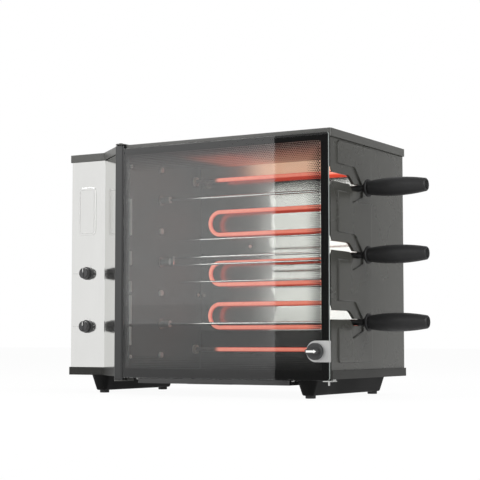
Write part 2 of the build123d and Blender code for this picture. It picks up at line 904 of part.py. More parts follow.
def skewer_guard(axis_z, start):
    """Black sleeve that turns in the slot's seat, with a flared guard."""
    points = [
        (start, 0), (start, sleeve_radius - 1), (start + 2, sleeve_radius), (guard_x - 10, sleeve_radius),
        (guard_x - 6, sleeve_radius + 2), (guard_x - 0.5, guard_radius - 1), (guard_x + 0.5, guard_radius),
        (guard_x + guard_thickness - 0.7, guard_radius), (guard_x + guard_thickness, guard_radius - 0.7),
        (guard_x + guard_thickness, 0),
    ]
    return turned(points, axis_z, guard_x + guard_thickness + 1)


def skewer_grip(axis_z):
    """Barrel-shaped handle with a dished end."""
    belly_x = grip_x + grip_length * 0.42
    start = (grip_x + 2, grip_root_radius)
    end = (grip_end - 1.5, grip_end_radius)
    dish = grip_end_radius - 3
    profile = make_face([
        Line((grip_x, 0), (grip_x, grip_root_radius - 1)),
        Line((grip_x, grip_root_radius - 1), start),
        ThreePointArc(start, (belly_x, grip_radius), end),
        Line(end, (grip_end, grip_end_radius - 1.5)),
        Line((grip_end, grip_end_radius - 1.5), (grip_end, dish)),
        Line((grip_end, dish), (grip_end - 3, dish - 1.5)),
        Line((grip_end - 3, dish - 1.5), (grip_end - 3, 0)),
        Line((grip_end - 3, 0), (grip_x, 0)),
    ])
    grip = revolve(profile, Axis.X) - bar_x(grip_x - 1, grip_x + grip_length * 0.4, 0, 0, rod_radius)
    return Pos(0, axis_y, axis_z) * grip


# ---- Door -----------------------------------------------------------------------------

def hinge_profile():
    """Extruded profile that grips the glass and turns on the hinge pins."""
    face = Pos(pivot_x, pivot_y) * RectangleRounded(profile_width, profile_depth, profile_corner)
    profile = extrude(Pos(0, 0, profile_bottom) * face, profile_top - profile_bottom)
    profile -= span(glass_left, 0, glass_front, glass_back, profile_bottom - 1, profile_top + 1)
    return profile - profile_core(profile_bottom - 1, profile_top + 1)


def profile_core(low, high):
    """The hollow along the profile, beside the glass."""
    half = profile_depth / 2 - profile_wall
    return span(profile_left + profile_wall, glass_left - 1, pivot_y - half, pivot_y + half, low, high)


def profile_plugs():
    """Nylon plugs in the profile's ends, bored for the hinge pins."""
    plugs = []
    for low in (profile_bottom, profile_top - plug_depth):
        plug = profile_core(low, low + plug_depth)
        plugs.append(plug - bar_z(low - 1, low + plug_depth + 1, pivot_x, pivot_y, hinge_bore))
    return Compound(children=plugs)


def hinge_brackets():
    """Tongues on the cover and under the base, each with its pin."""
    seat_back = notch_back + bracket_seat
    plate = bracket_thickness
    top = bar_z(body_height, body_height + plate, pivot_x, pivot_y, profile_width / 2)
    top += span(notch_left + 1, notch_right - 1, pivot_y, seat_back, body_height, body_height + plate)
    top += bar_z(profile_top - plug_depth, body_height, pivot_x, pivot_y, hinge_pin_radius)
    nub = bar_z(body_height + plate, body_height + plate + 1.5, pivot_x, pivot_y, hinge_pin_radius * 2)
    low = profile_bottom - turn_gap
    bottom = bar_z(low - plate, low, pivot_x, pivot_y, profile_width / 2)
    bottom += span(notch_left + 1, notch_right - 1, pivot_y, seat_back, low - plate, low)
    bottom += span(notch_left + 1, notch_right - 1, notch_back + 1, seat_back, low, 0)
    bottom += bar_z(low, profile_bottom + plug_depth, pivot_x, pivot_y, hinge_pin_radius)
    return Compound(children=[top + nub, bottom])


def door_glass():
    """Toughened glass with a hole for the latch."""
    width = glass_right - glass_left
    height = glass_top - glass_bottom
    face = Pos(glass_left + width / 2, glass_bottom + height / 2) * Rectangle(width, height)
    corners = [(glass_right, glass_bottom), (glass_right, glass_top)]
    glass = plate_xz(fillet(nearest(face, corners), glass_corner), glass_front, glass_back)
    return glass - bar_y(glass_front - 1, glass_back + 1, latch_x, latch_z, latch_shaft_radius + turn_gap)


def latch_face(reach):
    """Front of the latch plate: a round left end and a square right end."""
    right = glass_right + reach
    round_end = Pos(latch_x, latch_z) * Circle(latch_plate_height / 2)
    block = Pos((latch_x + right) / 2, latch_z) * Rectangle(right - latch_x, latch_plate_height)
    return round_end + block - Pos(latch_x, latch_z) * Circle(latch_shaft_radius + turn_gap)


def latch_plate():
    """Steel plate folded round the glass edge."""
    edge = glass_right + latch_plate_thickness
    front = plate_xz(latch_face(latch_plate_thickness), latch_front, glass_front)
    rear = plate_xz(latch_face(latch_plate_thickness), glass_back, glass_back + latch_plate_thickness)
    half = latch_plate_height / 2
    side = span(glass_right, edge, latch_front, glass_back + latch_plate_thickness, latch_z - half, latch_z + half)
    return front + rear + side


def latch_knob():
    """Round knob with a raised grip bar."""
    disc = bar_y(knob_back - latch_knob_depth, knob_back, latch_x, latch_z, latch_knob_radius)
    rim = [edge for edge in disc.edges() if edge.center().Y < knob_back - latch_knob_depth + 0.1]
    disc = fillet(rim, 1.5)
    length = (latch_knob_radius - latch_grip_inset) * 2
    bar_face = Pos(latch_x, latch_z) * SlotOverall(length, latch_grip_width)
    grip = plate_xz(bar_face, knob_front, knob_back - latch_knob_depth)
    rim = [edge for edge in grip.edges() if edge.center().Y < knob_front + 0.1]
    knob = disc + fillet(rim, 1)
    return knob - bar_y(knob_back - 6, knob_back + 1, latch_x, latch_z, latch_shaft_radius)


def latch_pointer():
    """White arrow set on the grip bar, pointing right."""
    half = latch_grip_width * 0.22
    reach = latch_knob_radius - latch_grip_inset - 1.5
    tip = latch_x + reach
    tail = latch_x - reach + 1.5
    points = [
        (tail, latch_z - half), (tip - 5, latch_z - half), (tip - 5, latch_z - half * 1.6),
        (tip, latch_z), (tip - 5, latch_z + half * 1.6), (tip - 5, latch_z + half), (tail, latch_z + half),
    ]
    return plate_xz(face_of(points), pointer_front, knob_front)


def latch_cam():
    """Latch shaft with the arm that turns behind the strike."""
    arm_back = arm_front + latch_arm_thickness
    shaft = bar_y(knob_back - 6, arm_back, latch_x, latch_z, latch_shaft_radius)
    half = latch_arm_width / 2
    arm = span(latch_x - half, latch_x + half, arm_front, arm_back, latch_z - latch_arm_length + half, latch_z)
    arm += bar_y(arm_front, arm_back, latch_x, latch_z - latch_arm_length + half, half)
    arm += bar_y(arm_front, arm_back, latch_x, latch_z, half + 1)
    return shaft + arm


def latch_strike():
    """Wear plate on the back of the wall's flange, for the latch arm."""
    half = latch_plate_height / 2
    return span(wall_inside - front_flange - 2, wall_inside, wall_front + sheet,
                wall_front + sheet + strike_thickness, latch_z - half, latch_z + half)


def door_rest():
    """Small steel bracket under the glass's free corner."""
    top = glass_bottom - turn_gap
    shelf = span(-14, 2, glass_front - 1, 16, top - 1.5, top)
    block = span(-12, 0, 6, 16, top, 0)
    tab = span(-8, -5, 2, 3.2, top - 8, top - 1.5)
    return shelf + block + tab


# ---- Controls ---------------------------------------------------------------------------

def switch_bodies():
    """Selector and thermostat behind the panel."""
    bodies = []
    half = switch_size / 2
    for height in switch_heights:
        body = span(switch_x - half, switch_x + half, panel_back_y, panel_back_y + switch_depth,
                    height - half, height + half)
        body = fillet(body.edges().filter_by(Axis.Y), 4)
        for side in (-1, 1):
            tab_x = switch_x + side * half * 0.5
            body += span(tab_x - 0.4, tab_x + 0.4, panel_back_y + switch_depth, panel_back_y + switch_depth + 8,
                         height - 3, height + 3)
        bore = bar_y(panel_back_y - 1, panel_back_y + 14, switch_x, height, switch_shaft_radius + running_gap)
        bodies.append(body - bore)
    return Compound(children=bodies)


def switch_shaft(height):
    """Shaft that joins a control knob to its switch."""
    shaft = bar_y(panel_face_y - 10, panel_back_y + 14 - turn_gap, switch_x, height, switch_shaft_radius)
    flat = span(switch_x - 5, switch_x + 5, panel_face_y - 11, panel_face_y - 3, height + 2.2, height + 5)
    return shaft - flat


def control_knob(height):
    """Round knob with a skirt and a raised index ridge."""
    back = panel_face_y - turn_gap
    front = back - knob_depth
    skirt = bar_y(back - 4, back, switch_x, height, knob_radius)
    cap = bar_y(front, back - 4, switch_x, height, knob_radius - 2)
    rim = [edge for edge in cap.edges() if edge.center().Y < front + 0.1]
    knob = skirt + fillet(rim, 2)
    knob += span(switch_x - 1.2, switch_x + 1.2, front - 1, front + 3, height - knob_radius + 3, height + knob_radius - 3)
    bore = bar_y(panel_face_y - 10, back + 1, switch_x, height, switch_shaft_radius)
    flat = span(switch_x - 5, switch_x + 5, panel_face_y - 10, panel_face_y - 3, height + 2.2, height + 5)
    return knob - (bore - flat)


# ---- Drawer, skids and feet ----------------------------------------------------------------

def drip_drawer():
    """Shallow tray that slides out under the door."""
    outer = span(drawer_left, drawer_right, drawer_front, drawer_back, drawer_bottom, drawer_top)
    outer = fillet(outer.edges().filter_by(Axis.Z), 3)
    hollow = span(drawer_left + drawer_sheet, drawer_right - drawer_sheet, drawer_front + drawer_sheet,
                  drawer_back - drawer_sheet, drawer_bottom + drawer_sheet, drawer_top + 1)
    drawer = outer - fillet(hollow.edges().filter_by(Axis.Z), 2)
    for inner, outer_x in ((drawer_left, drawer_left - drawer_flange), (drawer_right, drawer_right + drawer_flange)):
        low_x, high_x = sorted((inner, outer_x))
        drawer += span(low_x, high_x, drawer_front + 6, drawer_back - 4, drawer_top - drawer_sheet, drawer_top)
    middle = (drawer_left + drawer_right) / 2
    half = drawer_tab / 2
    tab_top = drawer_bottom + drawer_sheet
    return drawer + span(middle - half, middle + half, drawer_front - 7, drawer_front + 0.5, drawer_bottom, tab_top)


def drawer_runners():
    """Angle rails under the base that carry the drawer's flanges."""
    rails = []
    shelf_top = drawer_top - drawer_sheet - turn_gap
    for wall_x, side in ((drawer_left, -1), (drawer_right, 1)):
        web_near = wall_x + side * (drawer_flange + 0.5)
        web_far = web_near + side * drawer_sheet
        shelf_near = wall_x + side
        low_x, high_x = sorted((web_near, web_far))
        web = span(low_x, high_x, drawer_front + 6, drawer_back, shelf_top - drawer_sheet, 0)
        low_x, high_x = sorted((shelf_near, web_far))
        rails.append(web + span(low_x, high_x, drawer_front + 6, drawer_back, shelf_top - drawer_sheet, shelf_top))
    return Compound(children=rails)


def skid_block(x, ends, shrink):
    """Boat-shaped block under the base, drawn in by shrink."""
    front, back = ends
    length = back - front - shrink * 2
    face = Pos(x, (front + back) / 2) * RectangleRounded(skid_width - shrink * 2, length, skid_corner - shrink)
    block = extrude(face, -(skid_height - shrink), taper=skid_taper)
    return fillet(block.faces().sort_by(Axis.Z)[0].edges(), skid_round - shrink)


def skid(x, ends):
    """Hollow pressed skid, open towards the base."""
    return skid_block(x, ends, 0) - skid_block(x, ends, skid_sheet)


def rubber_feet():
    """Four rubber pads under the skids."""
    pads = []
    for x, ends in ((right_skid_x, right_skid_ends), (left_skid_x, left_skid_ends)):
        for y in (ends[0] + pad_inset, ends[1] - pad_inset):
            pad = bar_z(-foot_height, -skid_height, x, y, pad_radius)
            rim = [edge for edge in pad.edges() if edge.center().Z < 0.1 - foot_height]
            pads.append(fillet(rim, 1))
    return Compound(children=pads)


# ---- Write every piece -----------------------------------------------------------------------

pieces = {
    "base_pan": base_pan(),
    "top_cover": top_cover(),
    "right_side_wall": right_side_wall(),
    "left_side_wall": left_side_wall(),
    "rear_panel": rear_panel(),
    "control_panel": control_panel(),
    "case_screws": case_screws(),
    "cord_gland": cord_gland(),
    "chamber_left_wall": chamber_left_wall(),
    "back_reflector": back_reflector(),
    "lower_guard": lower_guard(),
    "chamber_ceiling": chamber_ceiling(),
    "heating_element": heating_element(),
    "element_insulators": element_insulators(),
    "element_support": element_support(),
    "gear_plate": gear_plate(),
    "bearing_bushes": bearing_bushes(),
    "chamber_bolts": chamber_bolts(),
    "gearbox_case": gearbox_case(),
    "motor_stack": motor_stack(),
    "motor_coil": motor_coil(),
    "motor_pinion": motor_pinion(),
    "hinge_profile": hinge_profile(),
    "profile_plugs": profile_plugs(),
    "hinge_brackets": hinge_brackets(),
    "door_glass": door_glass(),
    "latch_plate": latch_plate(),
    "latch_knob": latch_knob(),
    "latch_pointer": latch_pointer(),
    "latch_cam": latch_cam(),
    "latch_strike": latch_strike(),
    "door_rest": door_rest(),
    "switch_bodies": switch_bodies(),
    "drip_drawer": drip_drawer(),
    "drawer_runners": drawer_runners(),
    "right_skid": skid(right_skid_x, right_skid_ends),
    "left_skid": skid(left_skid_x, left_skid_ends),
    "rubber_feet": rubber_feet(),
}

for level, height in zip(("upper", "lower"), switch_heights):
    pieces[f"{level}_switch_shaft"] = switch_shaft(height)
    pieces[f"{level}_knob"] = control_knob(height)

for level, height in zip(("lower", "upper"), idler_heights):
    pieces[f"{level}_idler_gear"] = gear(gear_teeth, 90, axis_y, height, bolt_radius + running_gap)

for level, height in zip(("lower", "middle", "upper"), axis_heights):
    is_fork = level == "middle"
    pieces[f"{level}_spindle"] = spindle(height)
    pieces[f"{level}_gear"] = gear(gear_teeth, 0, axis_y, height, spindle_radius)
    pieces[f"{level}_skewer_rod"] = fork_rod(height) if is_fork else single_rod(height)
    pieces[f"{level}_skewer_guard"] = skewer_guard(height, sleeve_start + fork_bar_width if is_fork else sleeve_start)
    pieces[f"{level}_skewer_grip"] = skewer_grip(height)

for name, shape in pieces.items():
    write(name, shape)
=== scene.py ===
import json
import math

import bmesh
import bpy
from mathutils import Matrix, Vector


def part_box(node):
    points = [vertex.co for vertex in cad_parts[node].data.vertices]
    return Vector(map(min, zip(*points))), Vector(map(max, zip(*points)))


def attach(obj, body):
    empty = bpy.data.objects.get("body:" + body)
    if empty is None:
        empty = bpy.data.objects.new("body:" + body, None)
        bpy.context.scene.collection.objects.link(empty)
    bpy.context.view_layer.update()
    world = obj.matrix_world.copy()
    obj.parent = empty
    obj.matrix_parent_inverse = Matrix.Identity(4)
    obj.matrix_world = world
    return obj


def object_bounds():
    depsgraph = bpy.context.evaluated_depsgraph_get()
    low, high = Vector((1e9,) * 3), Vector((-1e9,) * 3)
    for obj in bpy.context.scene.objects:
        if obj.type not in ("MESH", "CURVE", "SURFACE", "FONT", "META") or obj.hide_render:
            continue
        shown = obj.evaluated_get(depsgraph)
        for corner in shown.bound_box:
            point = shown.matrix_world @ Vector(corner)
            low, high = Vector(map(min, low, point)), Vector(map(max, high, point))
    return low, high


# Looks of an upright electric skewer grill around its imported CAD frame.
# Places are written in the working frame of the part, in millimetres: x from
# the base tray's right edge, y from its front edge, z from its underside.

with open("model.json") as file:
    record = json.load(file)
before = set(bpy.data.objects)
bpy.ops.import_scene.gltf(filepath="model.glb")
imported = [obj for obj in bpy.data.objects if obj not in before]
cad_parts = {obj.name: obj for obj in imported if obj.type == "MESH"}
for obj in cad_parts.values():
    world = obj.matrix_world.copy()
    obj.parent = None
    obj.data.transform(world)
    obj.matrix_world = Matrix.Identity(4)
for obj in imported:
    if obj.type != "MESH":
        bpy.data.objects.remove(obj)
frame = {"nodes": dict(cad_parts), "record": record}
cad_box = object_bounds()

MM = 0.001
BASE_LOW, BASE_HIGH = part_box("base_pan")
CORNER = Vector((BASE_HIGH.x, BASE_LOW.y, BASE_LOW.z))


def at(x, y, z):
    """A point of the working frame, in metres in the row frame."""
    return CORNER + Vector((x, y, z)) * MM


def span_of(node):
    """A node's lowest and highest corners in the working frame, in millimetres."""
    low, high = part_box(node)
    return (low - CORNER) / MM, (high - CORNER) / MM


# ---- Places read from the frame ----------------------------------------------------

GLASS_LOW, GLASS_HIGH = span_of("door_glass")
LINING_LOW, LINING_HIGH = span_of("chamber_left_wall")
BACK_LOW, BACK_HIGH = span_of("back_reflector")
TUBE_LOW, TUBE_HIGH = span_of("heating_element")
PANEL_LEFT = span_of("control_panel")[0].x
PROFILE_RIGHT = span_of("hinge_profile")[1].x

# ---- Camera --------------------------------------------------------------------------

SENSOR = 36.0
FOCAL_PIXELS = 1373.2
FRAME_PIXELS = 480
CAMERA_PLACE = (1043.0, -2088.6, 64.2)
CAMERA_PITCH = 4.23
CAMERA_YAW = 30.345
CLIP_START, CLIP_END = 0.05, 100


def make_camera():
    """The camera at the photograph's viewing angle."""
    data = bpy.data.cameras.new("camera")
    data.sensor_width = SENSOR
    data.lens = FOCAL_PIXELS / FRAME_PIXELS * SENSOR
    data.clip_start = CLIP_START
    data.clip_end = CLIP_END
    camera = bpy.data.objects.new("camera", data)
    camera.location = at(*CAMERA_PLACE)
    camera.rotation_euler = (math.radians(90 + CAMERA_PITCH), 0, math.radians(CAMERA_YAW))
    bpy.context.scene.collection.objects.link(camera)
    bpy.context.scene.camera = camera


# ---- Materials -----------------------------------------------------------------------

# Places of a Mix node's colour sockets.
MIX_FIRST, MIX_SECOND, MIX_RESULT = 6, 7, 2


class Finish:
    """A procedural material: one Principled shader and the nodes that feed it."""

    def __init__(self, name, color, roughness, **values):
        self.material = bpy.data.materials.new(name)
        self.material.use_nodes = True
        self.tree = self.material.node_tree
        self.shader = self.tree.nodes["Principled BSDF"]
        self.color = color
        self.roughness = roughness
        self.shader.inputs["Base Color"].default_value = (*color, 1)
        self.shader.inputs["Roughness"].default_value = roughness
        for key, value in values.items():
            self.shader.inputs[key.replace("_", " ")].default_value = value
        coordinates = self.node("ShaderNodeTexCoord")
        self.place = coordinates.outputs["Object"]
        self.normal = coordinates.outputs["Normal"]

    def node(self, kind, **settings):
        """A new node of the material, with its settings."""
        made = self.tree.nodes.new(kind)
        for key, value in settings.items():
            setattr(made, key, value)
        return made

    def feed(self, source, target):
        """Links an output socket to an input socket."""
        self.tree.links.new(source, target)

    def axis(self, name, vector):
        """One coordinate of a vector socket."""
        split = self.node("ShaderNodeSeparateXYZ")
        self.feed(vector, split.inputs["Vector"])
        return split.outputs[name]

    def stretched(self, scale):
        """The object's coordinates, scaled along each axis."""
        mapping = self.node("ShaderNodeMapping")
        mapping.inputs["Scale"].default_value = scale
        self.feed(self.place, mapping.inputs["Vector"])
        return mapping.outputs["Vector"]

    def noise(self, scale, detail=3.0, stretch=(1, 1, 1), roughness=0.55):
        """A noise pattern, scale in cells per metre."""
        texture = self.node("ShaderNodeTexNoise")
        texture.inputs["Scale"].default_value = scale
        texture.inputs["Detail"].default_value = detail
        texture.inputs["Roughness"].default_value = roughness
        self.feed(self.stretched(stretch), texture.inputs["Vector"])
        return texture.outputs["Fac"]

    def ranged(self, source, low, high, to_low, to_high, smooth=False):
        """A value carried from one range to another."""
        ranger = self.node("ShaderNodeMapRange")
        if smooth:
            ranger.interpolation_type = "SMOOTHSTEP"
        for key, value in (("From Min", low), ("From Max", high), ("To Min", to_low), ("To Max", to_high)):
            ranger.inputs[key].default_value = value
        self.feed(source, ranger.inputs["Value"])
        return ranger.outputs["Result"]

    def along(self, axis, start, end, to_start=0, to_end=1, smooth=False):
        """A value that changes between two places on an axis of the working frame."""
        index = "XYZ".index(axis)
        low, high = (at(place, place, place)[index] for place in (start, end))
        return self.ranged(self.axis(axis, self.place), low, high, to_start, to_end, smooth)

    def math(self, operation, first, second):
        """The result of a sum, each value a socket or a number."""
        made = self.node("ShaderNodeMath", operation=operation)
        for index, value in enumerate((first, second)):
            if isinstance(value, (int, float)):
                made.inputs[index].default_value = value
            else:
                self.feed(value, made.inputs[index])
        return made.outputs[0]

    def blend(self, first, second, share):
        """Two patterns added, the first with a share and the second with the rest."""
        rest = self.math("MULTIPLY", second, 1 - share)
        return self.math("ADD", self.math("MULTIPLY", first, share), rest)

    def mix(self, factor, first, second):
        """A colour between two, each a socket or three numbers."""
        made = self.node("ShaderNodeMix", data_type="RGBA")
        self.feed(factor, made.inputs["Factor"])
        for key, value in ((MIX_FIRST, first), (MIX_SECOND, second)):
            if isinstance(value, tuple):
                made.inputs[key].default_value = (*value, 1)
            else:
                self.feed(value, made.inputs[key])
        return made.outputs[MIX_RESULT]

    def product(self, first, second):
        """One colour socket multiplied by another."""
        made = self.node("ShaderNodeMix", data_type="RGBA", blend_type="MULTIPLY")
        made.inputs["Factor"].default_value = 1
        self.feed(first, made.inputs[MIX_FIRST])
        self.feed(second, made.inputs[MIX_SECOND])
        return made.outputs[MIX_RESULT]

    def tinted(self, factor, spread):
        """The base colour, varied by a pattern from darker to lighter."""
        darker = tuple(channel * (1 - spread) for channel in self.color)
        lighter = tuple(min(1, channel * (1 + spread)) for channel in self.color)
        self.feed(self.mix(factor, darker, lighter), self.shader.inputs["Base Color"])

    def rough(self, factor, spread):
        """The roughness, varied by a pattern."""
        low, high = self.roughness * (1 - spread), min(1, self.roughness * (1 + spread))
        self.feed(self.ranged(factor, 0.3, 0.7, low, high), self.shader.inputs["Roughness"])

    def glow(self, factor, color, strength):
        """Light of a colour, given off where the factor is 1."""
        self.feed(self.mix(factor, (0, 0, 0), color), self.shader.inputs["Emission Color"])
        self.shader.inputs["Emission Strength"].default_value = strength

    def relief(self, height, depth, edge=0.0):
        """Bump from a pattern, depth in millimetres, over edges rounded by edge millimetres."""
        bump = self.node("ShaderNodeBump")
        bump.inputs["Distance"].default_value = depth * MM
        self.feed(height, bump.inputs["Height"])
        if edge:
            rounder = self.node("ShaderNodeBevel", samples=4)
            rounder.inputs["Radius"].default_value = edge * MM
            self.feed(rounder.outputs["Normal"], bump.inputs["Normal"])
        self.feed(bump.outputs["Normal"], self.shader.inputs["Normal"])


def powder_coat(name, color, roughness, edge=0.7, gloss=0.45):
    """Fine-grained powder coat over sheet steel."""
    coat = Finish(name, color, roughness, Specular_IOR_Level=gloss)
    grain = coat.noise(1400, 2)
    cloud = coat.noise(9, 4)
    coat.tinted(coat.blend(grain, cloud, 0.7), 0.22)
    coat.rough(cloud, 0.12)
    coat.relief(grain, 0.05, edge)
    return coat.material


def brushed_steel(name, color, roughness, along, anisotropic=0.4, streak=0.06):
    """Steel with fine scratches along one axis."""
    steel = Finish(name, color, roughness, Metallic=1.0, Anisotropic=anisotropic)
    stretch = tuple(0.012 if index == along else 1 for index in range(3))
    lines = steel.noise(1600, 2, stretch)
    smear = steel.noise(14, 3)
    steel.tinted(steel.blend(lines, smear, 0.65), streak)
    steel.rough(lines, 0.3)
    steel.relief(lines, 0.006, 0.4)
    return steel.material


def polished_steel(name, color, roughness):
    """Bright steel with faint smears."""
    steel = Finish(name, color, roughness, Metallic=1.0)
    steel.tinted(steel.noise(22, 4), 0.05)
    steel.rough(steel.noise(300, 3), 0.35)
    steel.relief(steel.noise(900, 2), 0.004, 0.3)
    return steel.material


# The back sheet is rougher and painted darker left of a wavy edge, a painted shade, and clear right of it.
# Its top band is rougher and carries a painted warm reflection and a painted glow of the first run of
# tube.
MIRROR_EDGE_X = -262
MIRROR_EDGE_WIDTH = 12
MIRROR_EDGE_DRIFT = 90
MIRROR_ROUGHNESS = 0.07
MIRROR_BUCKLE = 0.5
DULL_ROUGHNESS = 0.24
DULL_PAINTED_SHADE_SHARE = 0.74
TOP_BAND = 24
TOP_BAND_FADE = 4.8
TOP_ROUGHNESS = 0.5
TOP_PAINTED_WARM_TINT = (1.0, 0.94, 0.86)
TOP_PAINTED_GLOW_COLOR = (1.0, 0.6, 0.4)
TOP_PAINTED_GLOW = 0.8
TOP_PAINTED_GLOW_RISE = (-345, -265)


def reflector_steel(name, color):
    """Bright sheet: rougher with painted shade at the left, mirror-like at the right, rougher at the top
    with a painted warm reflection and glow.
    """
    steel = Finish(name, color, MIRROR_ROUGHNESS, Metallic=1.0)
    buckle = steel.noise(7, 2, (0.6, 1, 1))
    drift = steel.math("MULTIPLY", steel.math("SUBTRACT", buckle, 0.5), MIRROR_EDGE_DRIFT * MM)
    across = steel.math("ADD", steel.axis("X", steel.place), drift)
    edge = at(MIRROR_EDGE_X, 0, 0).x
    half_width = MIRROR_EDGE_WIDTH / 2 * MM
    clear = steel.ranged(across, edge - half_width, edge + half_width, 0, 1, True)
    band_low = BACK_HIGH.z - TOP_BAND
    top = steel.along("Z", band_low - TOP_BAND_FADE, band_low)

    # Left of the wavy edge the colour is darkened, a painted shade; the rougher finish there is real.
    painted_shade_sheet = steel.mix(clear, tuple(channel * DULL_PAINTED_SHADE_SHARE for channel in color), color)
    # Painted warm reflection: the top band's colour is tinted as if lit by the tube.
    painted_warm_sheet = steel.product(painted_shade_sheet, steel.mix(top, (1, 1, 1), TOP_PAINTED_WARM_TINT))
    smear = steel.ranged(steel.noise(22, 4), 0.3, 0.7, 0.94, 1.0)
    steel.feed(steel.mix(smear, (0, 0, 0), painted_warm_sheet), steel.shader.inputs["Base Color"])

    rough = steel.ranged(clear, 0, 1, DULL_ROUGHNESS, MIRROR_ROUGHNESS)
    scatter = steel.math("MULTIPLY", top, TOP_ROUGHNESS)
    steel.feed(steel.math("MAXIMUM", rough, scatter), steel.shader.inputs["Roughness"])

    # Painted glow of the tube's light on the top band, given off as emission.
    lit = steel.math("MULTIPLY", top, steel.along("X", *TOP_PAINTED_GLOW_RISE, 0, 1, True))
    steel.glow(lit, TOP_PAINTED_GLOW_COLOR, TOP_PAINTED_GLOW)
    steel.relief(steel.noise(9, 1), MIRROR_BUCKLE)
    return steel.material


# Painted glow: the red light of the top run of tube, given off by the ceiling itself as emission.
CEILING_PAINTED_GLOW_COLOR = (1.0, 0.16, 0.06)
CEILING_PAINTED_GLOW = 0.36
CEILING_PAINTED_GLOW_RISE = (-385, -335)
CEILING_PAINTED_GLOW_FALL = (-290, -215)
CEILING_PAINTED_GLOW_AT_RIGHT = 0.25
CEILING_PAINTED_GLOW_DEPTH = (60, 150)
CEILING_PAINTED_GLOW_IN_FRONT = 0.1


def ceiling_steel(name, color):
    """Brushed sheet with a painted red glow, emission standing for the blurred light of the top run of
    tube.
    """
    steel = Finish(name, color, 0.3, Metallic=1.0)
    lines = steel.noise(500, 3, (0.02, 1, 1))
    steel.tinted(lines, 0.14)
    rise = steel.along("X", *CEILING_PAINTED_GLOW_RISE, 0, 1, True)
    fall = steel.along("X", *CEILING_PAINTED_GLOW_FALL, 1, CEILING_PAINTED_GLOW_AT_RIGHT, True)
    depth = steel.along("Y", *CEILING_PAINTED_GLOW_DEPTH, CEILING_PAINTED_GLOW_IN_FRONT, 1, True)
    lit = steel.math("MULTIPLY", steel.math("MULTIPLY", rise, fall), depth)
    steel.glow(lit, CEILING_PAINTED_GLOW_COLOR, CEILING_PAINTED_GLOW)
    steel.relief(lines, 0.006, 0.4)
    return steel.material


def moulded(name, color, roughness, grain_scale=1500, grain_depth=0.03, edge=0.5, gloss=0.5):
    """Moulded plastic or rubber with a fine texture."""
    plastic = Finish(name, color, roughness, Specular_IOR_Level=gloss)
    plastic.tinted(plastic.noise(60, 3), 0.12)
    plastic.rough(plastic.noise(180, 3), 0.18)
    plastic.relief(plastic.noise(grain_scale, 2), grain_depth, edge)
    return plastic.material


def enamel(name, color):
    """Glossy vitreous enamel with a slight orange peel."""
    glaze = Finish(name, color, 0.22, Coat_Weight=0.4, Coat_Roughness=0.08)
    glaze.tinted(glaze.noise(35, 4), 0.25)
    glaze.relief(glaze.noise(220, 2), 0.05, 0.5)
    return glaze.material


def ceramic(name, color):
    """Unglazed steatite, slightly stained."""
    body = Finish(name, color, 0.62)
    body.tinted(body.noise(160, 5), 0.16)
    body.relief(body.noise(1500, 3), 0.04, 0.4)
    return body.material


def gear_nylon(name, color):
    """Natural nylon with some light passing into it."""
    nylon = Finish(name, color, 0.42, Subsurface_Weight=0.15, Subsurface_Radius=(0.002, 0.0018, 0.0012))
    nylon.tinted(nylon.noise(70, 3), 0.06)
    nylon.relief(nylon.noise(700, 2), 0.02, 0.3)
    return nylon.material


def sintered_metal(name, color):
    """Porous bearing metal."""
    bronze = Finish(name, color, 0.4, Metallic=1.0)
    pores = bronze.noise(2600, 4)
    bronze.tinted(pores, 0.2)
    bronze.relief(pores, 0.03, 0.3)
    return bronze.material


def cast_metal(name, color, roughness):
    """Die-cast alloy with a dull skin."""
    cast = Finish(name, color, roughness, Metallic=0.9)
    cast.tinted(cast.noise(50, 5), 0.12)
    cast.rough(cast.noise(260, 4), 0.25)
    cast.relief(cast.noise(520, 4), 0.08, 0.8)
    return cast.material


def satin_metal(name, color, roughness, metallic=0.45):
    """Bead-blasted light metal that scatters most of its light."""
    satin = Finish(name, color, roughness, Metallic=metallic)
    blast = satin.noise(1500, 3)
    satin.tinted(blast, 0.05)
    satin.rough(blast, 0.2)
    satin.relief(blast, 0.015, 0.4)
    return satin.material


def banded(name, color, roughness, pitch, axis, metallic, depth):
    """Stacked laminations or wound wire, one band per pitch along an axis."""
    stack = Finish(name, color, roughness, Metallic=metallic)
    wave = stack.node("ShaderNodeTexWave", wave_type="BANDS", bands_direction=axis)
    wave.inputs["Scale"].default_value = math.pi / (10 * pitch * MM)
    wave.inputs["Distortion"].default_value = 0.4
    stack.feed(stack.place, wave.inputs["Vector"])
    stack.tinted(wave.outputs["Fac"], 0.3)
    stack.relief(wave.outputs["Fac"], depth)
    return stack.material


# The tube glows beyond its terminals; its paler glow toward the door and deep red above and below are
# painted shading set by the way the surface faces.
COLD_TUBE = (0.16, 0.15, 0.14)
GLOW_DEEP_PAINTED_SHADE = (0.62, 0.06, 0.035)
GLOW_PALE_PAINTED_LIGHT = (1.0, 0.33, 0.24)
GLOW_STRENGTH = 1.15
GLOW_START = 60
GLOW_FADE = 14
END_RUN = 20
END_RUN_FADE = 4


